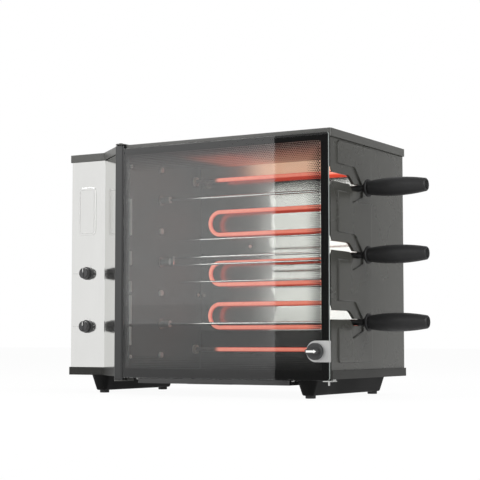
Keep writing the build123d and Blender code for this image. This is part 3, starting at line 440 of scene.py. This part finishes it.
def glowing_tube(name, color):
    """Sheathed tube: cold and grey at both terminals, glowing elsewhere."""
    tube = Finish(name, color, 0.5)
    start = LINING_HIGH.x + GLOW_START
    beyond = tube.along("X", start - GLOW_FADE, start, 0, 1, True)
    low, high = TUBE_LOW.z + END_RUN, TUBE_HIGH.z - END_RUN
    above = tube.along("Z", low, low + END_RUN_FADE)
    below = tube.along("Z", high - END_RUN_FADE, high, 1, 0)
    lit = tube.math("MAXIMUM", beyond, tube.math("MULTIPLY", above, below))
    tube.feed(tube.mix(lit, COLD_TUBE, color), tube.shader.inputs["Base Color"])

    # Painted shading of the glow: pale where the surface faces the door, deep red where it turns away.
    toward_door = tube.math("MULTIPLY", tube.axis("Y", tube.normal), -1)
    painted_core_light = tube.ranged(toward_door, 0.35, 0.85, 0, 1, True)
    scale = tube.ranged(tube.noise(240, 4), 0.35, 0.65, 0.75, 1)
    heat_with_painted_shading = tube.mix(tube.math("MULTIPLY", painted_core_light, scale), GLOW_DEEP_PAINTED_SHADE, GLOW_PALE_PAINTED_LIGHT)
    tube.glow(lit, heat_with_painted_shading, GLOW_STRENGTH)
    tube.relief(tube.noise(1800, 3), 0.04)
    return tube.material


GROUND_EDGE_AND_PAINTED_HIGHLIGHT_COLOR = (0.3, 0.33, 0.32)
GROUND_EDGE_ROUGHNESS = 0.35
GROUND_EDGE_CLEARNESS = 0.2
SMEAR_SHARE = 0.96


def tinted_glass(name, color):
    """Grey toughened glass with faint smears and a ground edge, whose lighter colour is partly a painted
    highlight along the rim.
    """
    glass = Finish(name, color, 0.0, Transmission_Weight=1.0, IOR=1.46)
    facing = glass.math("ABSOLUTE", glass.axis("Y", glass.normal), 0)
    side = glass.ranged(facing, 0.2, 0.6, 1, 0)
    glass.feed(glass.ranged(side, 0, 1, 0, GROUND_EDGE_ROUGHNESS), glass.shader.inputs["Roughness"])
    clearness = glass.ranged(side, 0, 1, 1, GROUND_EDGE_CLEARNESS)
    glass.feed(clearness, glass.shader.inputs["Transmission Weight"])
    smear = glass.ranged(glass.noise(16, 4), 0.35, 0.7, SMEAR_SHARE, 1)
    faint = glass.mix(smear, tuple(channel * SMEAR_SHARE for channel in color), color)
    # Lighter edge faces: a ground edge, and partly a painted highlight along the rim.
    glass.feed(glass.mix(side, faint, GROUND_EDGE_AND_PAINTED_HIGHLIGHT_COLOR), glass.shader.inputs["Base Color"])
    return glass.material


ALONG_X, ALONG_Z = 0, 2


def make_materials():
    """One finish for each of the record's material slots, and the finishes of the scene's pieces."""
    return {
        "black_coat": powder_coat("black_coat", (0.06, 0.06, 0.055), 0.36),
        "brushed_panel": brushed_steel("brushed_panel", (0.735, 0.735, 0.72), 0.12, ALONG_Z),
        "lining_steel": satin_metal("lining_steel", (0.1, 0.145, 0.145), 0.45),
        "mirror_steel": reflector_steel("mirror_steel", (0.76, 0.755, 0.735)),
        "dark_enamel": enamel("dark_enamel", (0.006, 0.006, 0.006)),
        "element_tube": glowing_tube("element_tube", (0.55, 0.12, 0.07)),
        "ceramic": ceramic("ceramic", (0.68, 0.65, 0.57)),
        "zinc_steel": brushed_steel("zinc_steel", (0.56, 0.56, 0.55), 0.36, ALONG_X, 0.1, 0.12),
        "bright_steel": polished_steel("bright_steel", (0.78, 0.78, 0.78), 0.14),
        "sintered": sintered_metal("sintered", (0.3, 0.29, 0.27)),
        "gear_nylon": gear_nylon("gear_nylon", (0.74, 0.72, 0.64)),
        "black_plastic": moulded("black_plastic", (0.028, 0.028, 0.029), 0.42),
        "white_plastic": moulded("white_plastic", (0.86, 0.86, 0.84), 0.4, edge=0.2),
        "tinted_glass": tinted_glass("tinted_glass", (0.62, 0.63, 0.615)),
        "black_profile": powder_coat("black_profile", (0.015, 0.0155, 0.0155), 0.36),
        "die_cast": cast_metal("die_cast", (0.5, 0.5, 0.51), 0.45),
        "core_steel": banded("core_steel", (0.16, 0.16, 0.165), 0.5, 0.6, "X", 0.8, 0.15),
        "copper_wire": banded("copper_wire", (0.42, 0.17, 0.07), 0.35, 0.5, "Z", 0.7, 0.2),
        "foot_rubber": moulded("foot_rubber", (0.02, 0.02, 0.02), 0.7, 900, 0.06, 0.8),
        "print": moulded("glass_ink", (0.012, 0.012, 0.012), 0.5, 2500, 0.01, 0.0),
        "faint_print": moulded("faint_ink", (0.5, 0.5, 0.49), 0.5, 2500, 0.01, 0.0),
        "badge_steel": satin_metal("badge_steel", (0.5, 0.5, 0.49), 0.45),
        "pale_zinc": satin_metal("pale_zinc", (0.93, 0.93, 0.91), 0.35, 0.1),
    }


def special_finishes():
    """Finishes of the nodes that look unlike the rest of their slot."""
    grip = moulded("grip_plastic", (0.0125, 0.0125, 0.013), 0.5, 1100, 0.06, gloss=0.35)
    skid = powder_coat("skid_coat", (0.007, 0.007, 0.007), 0.5, gloss=0.06)
    finishes = {
        "right_side_wall": powder_coat("wall_coat", (0.044, 0.044, 0.039), 0.27, edge=2.0),
        "base_pan": powder_coat("base_coat", (0.02, 0.02, 0.018), 0.4, gloss=0.2),
        "chamber_ceiling": ceiling_steel("ceiling_steel", (0.2, 0.14, 0.12)),
        "chamber_bolts": satin_metal("bolt_metal", (0.93, 0.93, 0.91), 0.35, 0.1),
        "latch_plate": satin_metal("plate_metal", (0.46, 0.46, 0.455), 0.4),
        "right_skid": skid,
        "left_skid": skid,
        # Near-black drawer front: painted shade under the base.
        "drip_drawer": enamel("drawer_enamel_painted_shade", (0.008, 0.008, 0.008)),
    }
    for level in ("lower", "middle", "upper"):
        finishes[level + "_skewer_grip"] = grip
        finishes[level + "_skewer_guard"] = grip
    return finishes


def dress_nodes(materials):
    """Gives every CAD node the finish of its slot, or its own."""
    special = special_finishes()
    for part in frame["record"]["subparts"]:
        mesh = frame["nodes"][part["node"]].data
        finish = special.get(part["node"], materials[part["material_slot"]])
        if not mesh.materials:
            mesh.materials.append(finish)
        for index in range(len(mesh.materials)):
            mesh.materials[index] = finish


# ---- Mesh helpers ----------------------------------------------------------------------

TURNED_SIDES = 28


def to_object(name, mesh, material):
    """Turns a working mesh into an object of the scene with one material."""
    data = bpy.data.meshes.new(name)
    mesh.to_mesh(data)
    mesh.free()
    data.materials.append(material)
    made = bpy.data.objects.new(name, data)
    bpy.context.scene.collection.objects.link(made)
    return made


def add_piece(name, mesh, material, body, smooth_angle=None):
    """Links a mesh as a piece that rides on a body and takes a slot's finish."""
    bmesh.ops.recalc_face_normals(mesh, faces=mesh.faces)
    piece = to_object(name, mesh, material)
    if smooth_angle:
        piece.data.shade_smooth()
        piece.data.set_sharp_from_angle(angle=math.radians(smooth_angle))
    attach(piece, body)
    return piece


def add_prism(mesh, outline, y_front, y_back):
    """A closed plate with an outline in x and z, between two y values."""
    front = [mesh.verts.new(at(x, y_front, z)) for x, z in outline]
    back = [mesh.verts.new(at(x, y_back, z)) for x, z in outline]
    mesh.faces.new(front)
    mesh.faces.new(back[::-1])
    for index in range(len(outline)):
        after = (index + 1) % len(outline)
        mesh.faces.new((front[index], back[index], back[after], front[after]))


def add_ring(mesh, outer, inner, y_front, y_back):
    """A closed plate between two outlines with equally many points."""
    def loop(outline, y):
        return [mesh.verts.new(at(x, y, z)) for x, z in outline]

    outer_front, outer_back = loop(outer, y_front), loop(outer, y_back)
    inner_front, inner_back = loop(inner, y_front), loop(inner, y_back)
    count = len(outer)
    for index in range(count):
        after = (index + 1) % count
        mesh.faces.new((outer_front[index], outer_front[after], inner_front[after], inner_front[index]))
        mesh.faces.new((outer_back[after], outer_back[index], inner_back[index], inner_back[after]))
        mesh.faces.new((outer_front[after], outer_front[index], outer_back[index], outer_back[after]))
        mesh.faces.new((inner_front[index], inner_front[after], inner_back[after], inner_back[index]))


def rounded_box(x0, x1, z0, z1, radii, steps=6):
    """Outline of a rectangle with round corners: low left, low right, top right, top left."""
    corners = ((x0, z0, 180), (x1, z0, 270), (x1, z1, 0), (x0, z1, 90))
    points = []
    for (x, z, start), radius in zip(corners, radii):
        centre_x = x + radius if x == x0 else x - radius
        centre_z = z + radius if z == z0 else z - radius
        for step in range(steps + 1):
            angle = math.radians(start + 90 * step / steps)
            points.append((centre_x + radius * math.cos(angle), centre_z + radius * math.sin(angle)))
    return points


def turned(mesh, centre, axis, profile):
    """A piece turned about an axis: the profile lists distance along it and radius."""
    direction = Vector(axis).normalized()
    across = direction.orthogonal().normalized()
    up = direction.cross(across)
    rings = []
    for along, radius in profile:
        base = Vector(centre) + direction * along
        if radius == 0:
            rings.append([mesh.verts.new(at(*base))])
            continue
        ring = []
        for side in range(TURNED_SIDES):
            angle = 2 * math.pi * side / TURNED_SIDES
            outward = across * math.cos(angle) + up * math.sin(angle)
            ring.append(mesh.verts.new(at(*(base + outward * radius))))
        rings.append(ring)
    for first, second in zip(rings, rings[1:]):
        for side in range(TURNED_SIDES):
            after = (side + 1) % TURNED_SIDES
            corners = [first[side % len(first)], first[after % len(first)],
                       second[after % len(second)], second[side % len(second)]]
            unique = list(dict.fromkeys(corners))
            if len(unique) > 2:
                mesh.faces.new(unique)


# ---- Printed border on the glass --------------------------------------------------------

PRINT_THICKNESS = 0.08
PRINT_INSET = 0.8
PRINT_LEFT, PRINT_RIGHT, PRINT_BOTTOM, PRINT_TOP = 3, 15, 14, 13
PROFILE_GAP = 0.2
PROFILE_SIDE_CORNER = 0.5
GLASS_CORNER = 4.5
WINDOW_CORNER = 3
DOT_PITCH = 3.6
ROW_SHARE = 0.866
FIRST_DOT = 0.6
DOT_LARGEST = 1.85
DOT_SMALLEST = 0.6
DOT_TURNS = tuple(math.radians(60 * step + 30) for step in range(6))
FADE_LEFT, FADE_RIGHT, FADE_BOTTOM, FADE_TOP = 7, 26, 26, 32


def dot_radius(x, z, window):
    """Radius of a printed dot: large beside the border, and none in the middle."""
    x0, x1, z0, z1 = window
    shares = ((x - x0) / FADE_LEFT, (x1 - x) / FADE_RIGHT, (z - z0) / FADE_BOTTOM, (z1 - z) / FADE_TOP)
    nearest = min(shares)
    if nearest < 0 or nearest > 1:
        return 0
    return DOT_LARGEST + (DOT_SMALLEST - DOT_LARGEST) * nearest


def glass_print(materials):
    """Black border and fading dots, printed on the back of the glass."""
    mesh = bmesh.new()
    front = GLASS_HIGH.y
    back = front + PRINT_THICKNESS
    left, right = PROFILE_RIGHT + PROFILE_GAP, GLASS_HIGH.x - PRINT_INSET
    bottom, top = GLASS_LOW.z + PRINT_INSET, GLASS_HIGH.z - PRINT_INSET
    window = (left + PRINT_LEFT, right - PRINT_RIGHT, bottom + PRINT_BOTTOM, top - PRINT_TOP)
    corners = (PROFILE_SIDE_CORNER, GLASS_CORNER, GLASS_CORNER, PROFILE_SIDE_CORNER)
    outer = rounded_box(left, right, bottom, top, corners)
    inner = rounded_box(*window, (WINDOW_CORNER,) * 4)
    add_ring(mesh, outer, inner, front, back)
    rows = int((window[3] - window[2]) / (DOT_PITCH * ROW_SHARE)) + 1
    columns = int((window[1] - window[0]) / DOT_PITCH) + 1
    for row in range(rows):
        z = window[3] - (row + FIRST_DOT) * DOT_PITCH * ROW_SHARE
        for column in range(columns):
            x = window[1] - (column + FIRST_DOT + 0.5 * (row % 2)) * DOT_PITCH
            radius = dot_radius(x, z, window)
            if radius:
                dot = [(x + radius * math.cos(turn), z + radius * math.sin(turn)) for turn in DOT_TURNS]
                add_prism(mesh, dot, front, back)
    add_piece("glass_print", mesh, materials["print"], "door")


# ---- Small pieces on the chamber and the panel --------------------------------------------

# Distance from the sheet and radius, from the rim to the middle of the cross recess.
SCREW_PROFILE = ((0, 3.6), (0.5, 3.6), (1.4, 3.1), (2.0, 2.0), (2.15, 1.1), (1.2, 0.9), (1.1, 0))
LINING_FRONT_SCREW = LINING_LOW.y + 6
# y and z of the screws on the lining, x and z of the one on the back sheet.
LINING_SCREWS = ((LINING_FRONT_SCREW, 392), (LINING_FRONT_SCREW, 36), (254, 157.5))
BACK_SCREW = (-310, 252)


def chamber_screws(materials):
    """Pan-head screws on the left lining and on the back sheet."""
    mesh = bmesh.new()
    for y, z in LINING_SCREWS:
        turned(mesh, (LINING_HIGH.x, y, z), (1, 0, 0), SCREW_PROFILE)
    turned(mesh, (BACK_SCREW[0], BACK_LOW.y, BACK_SCREW[1]), (0, -1, 0), SCREW_PROFILE)
    add_piece("chamber_screws", mesh, materials["pale_zinc"], "casing", 40)


CLIP_WIDTH = 5
CLIP_THICKNESS = 1.2
CLIP_INSET = 0.4
CLIP_CORNERS = (0.2, 1.2, 1.2, 0.2)
CLIP_HEIGHTS = ((58, 92), (97, 150), (156, 176), (206, 232), (262, 330))


def chamber_clips(materials):
    """Pale clips behind the profile, at the front edge of the left lining."""
    mesh = bmesh.new()
    front = LINING_LOW.y + CLIP_INSET
    for low, high in CLIP_HEIGHTS:
        outline = rounded_box(LINING_HIGH.x, LINING_HIGH.x + CLIP_WIDTH, low, high, CLIP_CORNERS, 4)
        add_prism(mesh, outline, front, front + CLIP_THICKNESS)
    add_piece("chamber_clips", mesh, materials["pale_zinc"], "casing")


KNOB_GAP = 0.3
MARK_THICKNESS = 0.08
MARK_HEIGHT = 0.9
MARK_INSET = 3
MARK_GAP = 2
TICK_INNER, TICK_OUTER = 2.2, 4.4
TICK_WIDTH = 0.7
TICK_REACH = 135
TICK_STEP = 27


def panel_face():
    """Depth of the panel's flat face, just behind the knobs."""
    return span_of("upper_knob")[1].y + KNOB_GAP


def add_tick(mesh, x, z, angle, inner, outer, face_y):
    """One radial tick of a dial."""
    along = Vector((math.cos(angle), math.sin(angle)))
    side = Vector((-along.y, along.x)) * (TICK_WIDTH / 2)
    centre = Vector((x, z))
    corners = [centre + along * inner - side, centre + along * outer - side,
               centre + along * outer + side, centre + along * inner + side]
    add_prism(mesh, [tuple(corner) for corner in corners], face_y - MARK_THICKNESS, face_y)


def panel_marks(materials):
    """Fine printed lines at the left of each control knob, and short ticks round it."""
    mesh = bmesh.new()
    face = panel_face()
    for level in ("upper", "lower"):
        low, high = span_of(level + "_knob")
        x, z = (low.x + high.x) / 2, (low.z + high.z) / 2
        radius = (high.x - low.x) / 2
        start, end = PANEL_LEFT + MARK_INSET, x - radius - MARK_GAP
        half = MARK_HEIGHT / 2
        line = [(start, z - half), (end, z - half), (end, z + half), (start, z + half)]
        add_prism(mesh, line, face - MARK_THICKNESS, face)
        for degrees in range(-TICK_REACH, TICK_REACH + 1, TICK_STEP):
            angle = math.radians(90 + degrees)
            add_tick(mesh, x, z, angle, radius + TICK_INNER, radius + TICK_OUTER, face)
    add_piece("panel_marks", mesh, materials["faint_print"], "casing")


# Left, right, bottom and top of the bead's outer line.
BEAD_OUTER = (-583.5, -547.5, 274, 362)
BEAD_WIDTH = 2.4
BEAD_OUTER_CORNER, BEAD_INNER_CORNER = 5, 3
# Front and back of the bead, ahead of the panel's face.
BEAD_FRONT, BEAD_BACK = 2.1, 1.0
BEAD_EDGE = 0.6


def badge_relief(materials):
    """Pressed bead round the panel's upper field."""
    mesh = bmesh.new()
    face = panel_face()
    left, right, bottom, top = BEAD_OUTER
    outer = rounded_box(*BEAD_OUTER, (BEAD_OUTER_CORNER,) * 4)
    inner = rounded_box(left + BEAD_WIDTH, right - BEAD_WIDTH, bottom + BEAD_WIDTH, top - BEAD_WIDTH,
                        (BEAD_INNER_CORNER,) * 4)
    add_ring(mesh, outer, inner, face - BEAD_FRONT, face - BEAD_BACK)
    relief = add_piece("badge_relief", mesh, materials["badge_steel"], "casing")
    rounder = relief.modifiers.new("rounded", "BEVEL")
    rounder.width = BEAD_EDGE * MM
    rounder.segments = 3
    rounder.limit_method = "ANGLE"
    relief.data.shade_smooth()


LINE_WIDTH = 1.2
LINE_START = 1.5
LINE_END = 3.4
LINE_FRONT, LINE_BACK = -0.06, 0.1


def knob_painted_highlights(materials):
    """A white line on the ridge of each control knob: a painted highlight."""
    for level in ("upper", "lower"):
        mesh = bmesh.new()
        low, high = span_of(level + "_knob")
        x, z = (low.x + high.x) / 2, (low.z + high.z) / 2
        left, right = x - LINE_WIDTH / 2, x + LINE_WIDTH / 2
        # Painted highlight: a white line where light catches the knob's ridge.
        bottom, top = z + LINE_START, high.z - LINE_END
        line = [(left, bottom), (right, bottom), (right, top), (left, top)]
        add_prism(mesh, line, low.y + LINE_FRONT, low.y + LINE_BACK)
        add_piece(level + "_knob_painted_highlight", mesh, materials["white_plastic"], level + "_control")


# ---- Studio -------------------------------------------------------------------------------

WORLD_LIGHT = 0.48
FLOOR_SIZE = 16.0
FLOOR_SHADOW = 0.05
FLOOR_COLOR = (0.93, 0.93, 0.925)
FLOOR_GAP = 0.0002


def white_world():
    """A soft grey world that the camera, gloss and glass see as white."""
    world = bpy.data.worlds.new("studio")
    world.use_nodes = True
    tree = world.node_tree
    path = tree.nodes.new("ShaderNodeLightPath")
    seen = path.outputs["Is Camera Ray"]
    for ray in ("Is Glossy Ray", "Is Transmission Ray"):
        either = tree.nodes.new("ShaderNodeMath")
        either.operation = "MAXIMUM"
        tree.links.new(seen, either.inputs[0])
        tree.links.new(path.outputs[ray], either.inputs[1])
        seen = either.outputs[0]
    ranger = tree.nodes.new("ShaderNodeMapRange")
    ranger.inputs["To Min"].default_value = WORLD_LIGHT
    tree.links.new(seen, ranger.inputs["Value"])
    background = tree.nodes["Background"]
    background.inputs["Color"].default_value = (1, 1, 1, 1)
    tree.links.new(ranger.outputs["Result"], background.inputs["Strength"])
    bpy.context.scene.world = world


def floor():
    """A pale floor that fades into the background and keeps a soft shadow."""
    material = bpy.data.materials.new("floor_paper")
    material.use_nodes = True
    tree = material.node_tree
    paper = tree.nodes["Principled BSDF"]
    paper.inputs["Base Color"].default_value = (*FLOOR_COLOR, 1)
    paper.inputs["Roughness"].default_value = 0.9
    bright = tree.nodes.new("ShaderNodeEmission")
    mixer = tree.nodes.new("ShaderNodeMixShader")
    mixer.inputs["Fac"].default_value = 1 - FLOOR_SHADOW
    tree.links.new(paper.outputs["BSDF"], mixer.inputs[1])
    tree.links.new(bright.outputs["Emission"], mixer.inputs[2])
    path = tree.nodes.new("ShaderNodeLightPath")
    chooser = tree.nodes.new("ShaderNodeMixShader")
    tree.links.new(path.outputs["Is Diffuse Ray"], chooser.inputs["Fac"])
    tree.links.new(mixer.outputs["Shader"], chooser.inputs[1])
    tree.links.new(paper.outputs["BSDF"], chooser.inputs[2])
    tree.links.new(chooser.outputs["Shader"], tree.nodes["Material Output"].inputs["Surface"])
    mesh = bmesh.new()
    bmesh.ops.create_grid(mesh, x_segments=1, y_segments=1, size=FLOOR_SIZE)
    made = to_object("floor", mesh, material)
    made.location = (0, 0, cad_box[0].z - FLOOR_GAP)


def card(name, corners, level):
    """A white reflection card that only gloss and glass see."""
    material = bpy.data.materials.new(name)
    material.use_nodes = True
    tree = material.node_tree
    tree.nodes.remove(tree.nodes["Principled BSDF"])
    glow = tree.nodes.new("ShaderNodeEmission")
    glow.inputs["Color"].default_value = (1, 1, 1, 1)
    glow.inputs["Strength"].default_value = level
    tree.links.new(glow.outputs["Emission"], tree.nodes["Material Output"].inputs["Surface"])
    mesh = bmesh.new()
    mesh.faces.new([mesh.verts.new(at(*corner)) for corner in corners])
    made = to_object(name, mesh, material)
    made.visible_camera = False
    made.visible_diffuse = False
    made.visible_shadow = False


CARD_Y = -605
CARD_FOOT = -30
VEIL_EDGE_X = -107
GLASS_RIGHT_X = 10
# Name, bottom, top and level of the cards left of the veil's edge.
VEIL_CARDS = (
    ("white_card", 150, 700, 2.6),
    ("middle_card", 105, 150, 2.2),
    ("low_card", CARD_FOOT, 105, 1.5),
)
DARK_CARD_TOP = 520
DARK_CARD_LEVEL = 0.3
SIDE_FLAG_X = 1400
SIDE_FLAG_FRONT, SIDE_FLAG_BACK = 400, 3150
SIDE_FLAG_TOP = 1500
SIDE_FLAG_LEVEL = 0.03
TOP_FLAG_Z = 1900
TOP_FLAG_X = (-2200, 1800)
TOP_FLAG_Y = (-1800, 1500)
TOP_FLAG_LEVEL = 0.3


def mirrored_x(glass_x):
    """Where a line of sight, once mirrored at a point of the glass, meets the cards' plane."""
    camera_x, camera_y, _ = CAMERA_PLACE
    slope = (camera_x - glass_x) / (camera_y - GLASS_LOW.y)
    return glass_x + slope * (GLASS_LOW.y - CARD_Y)


def upright(name, start, end, low, high, level):
    """A vertical card between two points of the plan and two heights."""
    card(name, ((*start, low), (*end, low), (*end, high), (*start, high)), level)


def cards():
    """Cards mirrored in the glass, and flags that keep the right side and the edges dark."""
    edge, left, right = mirrored_x(VEIL_EDGE_X), mirrored_x(GLASS_LOW.x), mirrored_x(GLASS_RIGHT_X)
    for name, low, high, level in VEIL_CARDS:
        upright(name, (left, CARD_Y), (edge, CARD_Y), low, high, level)
    upright("dark_card", (edge, CARD_Y), (right, CARD_Y), CARD_FOOT, DARK_CARD_TOP, DARK_CARD_LEVEL)
    upright("side_flag", (SIDE_FLAG_X, SIDE_FLAG_FRONT), (SIDE_FLAG_X, SIDE_FLAG_BACK),
            CARD_FOOT, SIDE_FLAG_TOP, SIDE_FLAG_LEVEL)
    (left, right), (front, back) = TOP_FLAG_X, TOP_FLAG_Y
    plan = ((left, front), (right, front), (right, back), (left, back))
    card("top_flag", [(x, y, TOP_FLAG_Z) for x, y in plan], TOP_FLAG_LEVEL)


LAMP_TARGET = (0, 0, 0.24)
# Name, place in metres, size and power: high at the front left, at the right and above.
LAMPS = (
    ("key", (-1.4, -1.9, 1.7), 1.2, 34),
    ("side", (2.2, -0.6, 1.1), 1.1, 22),
    ("top", (0.2, 0.3, 2.1), 1.3, 18),
)


def lamp(name, place, size, power):
    """A soft square lamp aimed at the object."""
    data = bpy.data.lights.new(name, "AREA")
    data.energy = power
    data.size = size
    made = bpy.data.objects.new(name, data)
    made.location = Vector(place)
    made.rotation_euler = (Vector(LAMP_TARGET) - Vector(place)).to_track_quat("-Z", "Y").to_euler()
    bpy.context.scene.collection.objects.link(made)


# ---- Build --------------------------------------------------------------------------------

make_camera()
materials = make_materials()
dress_nodes(materials)
glass_print(materials)
chamber_screws(materials)
chamber_clips(materials)
panel_marks(materials)
badge_relief(materials)
knob_painted_highlights(materials)
white_world()
floor()
cards()
for setting in LAMPS:
    lamp(*setting)

bpy.context.scene.view_settings.view_transform = "Standard"
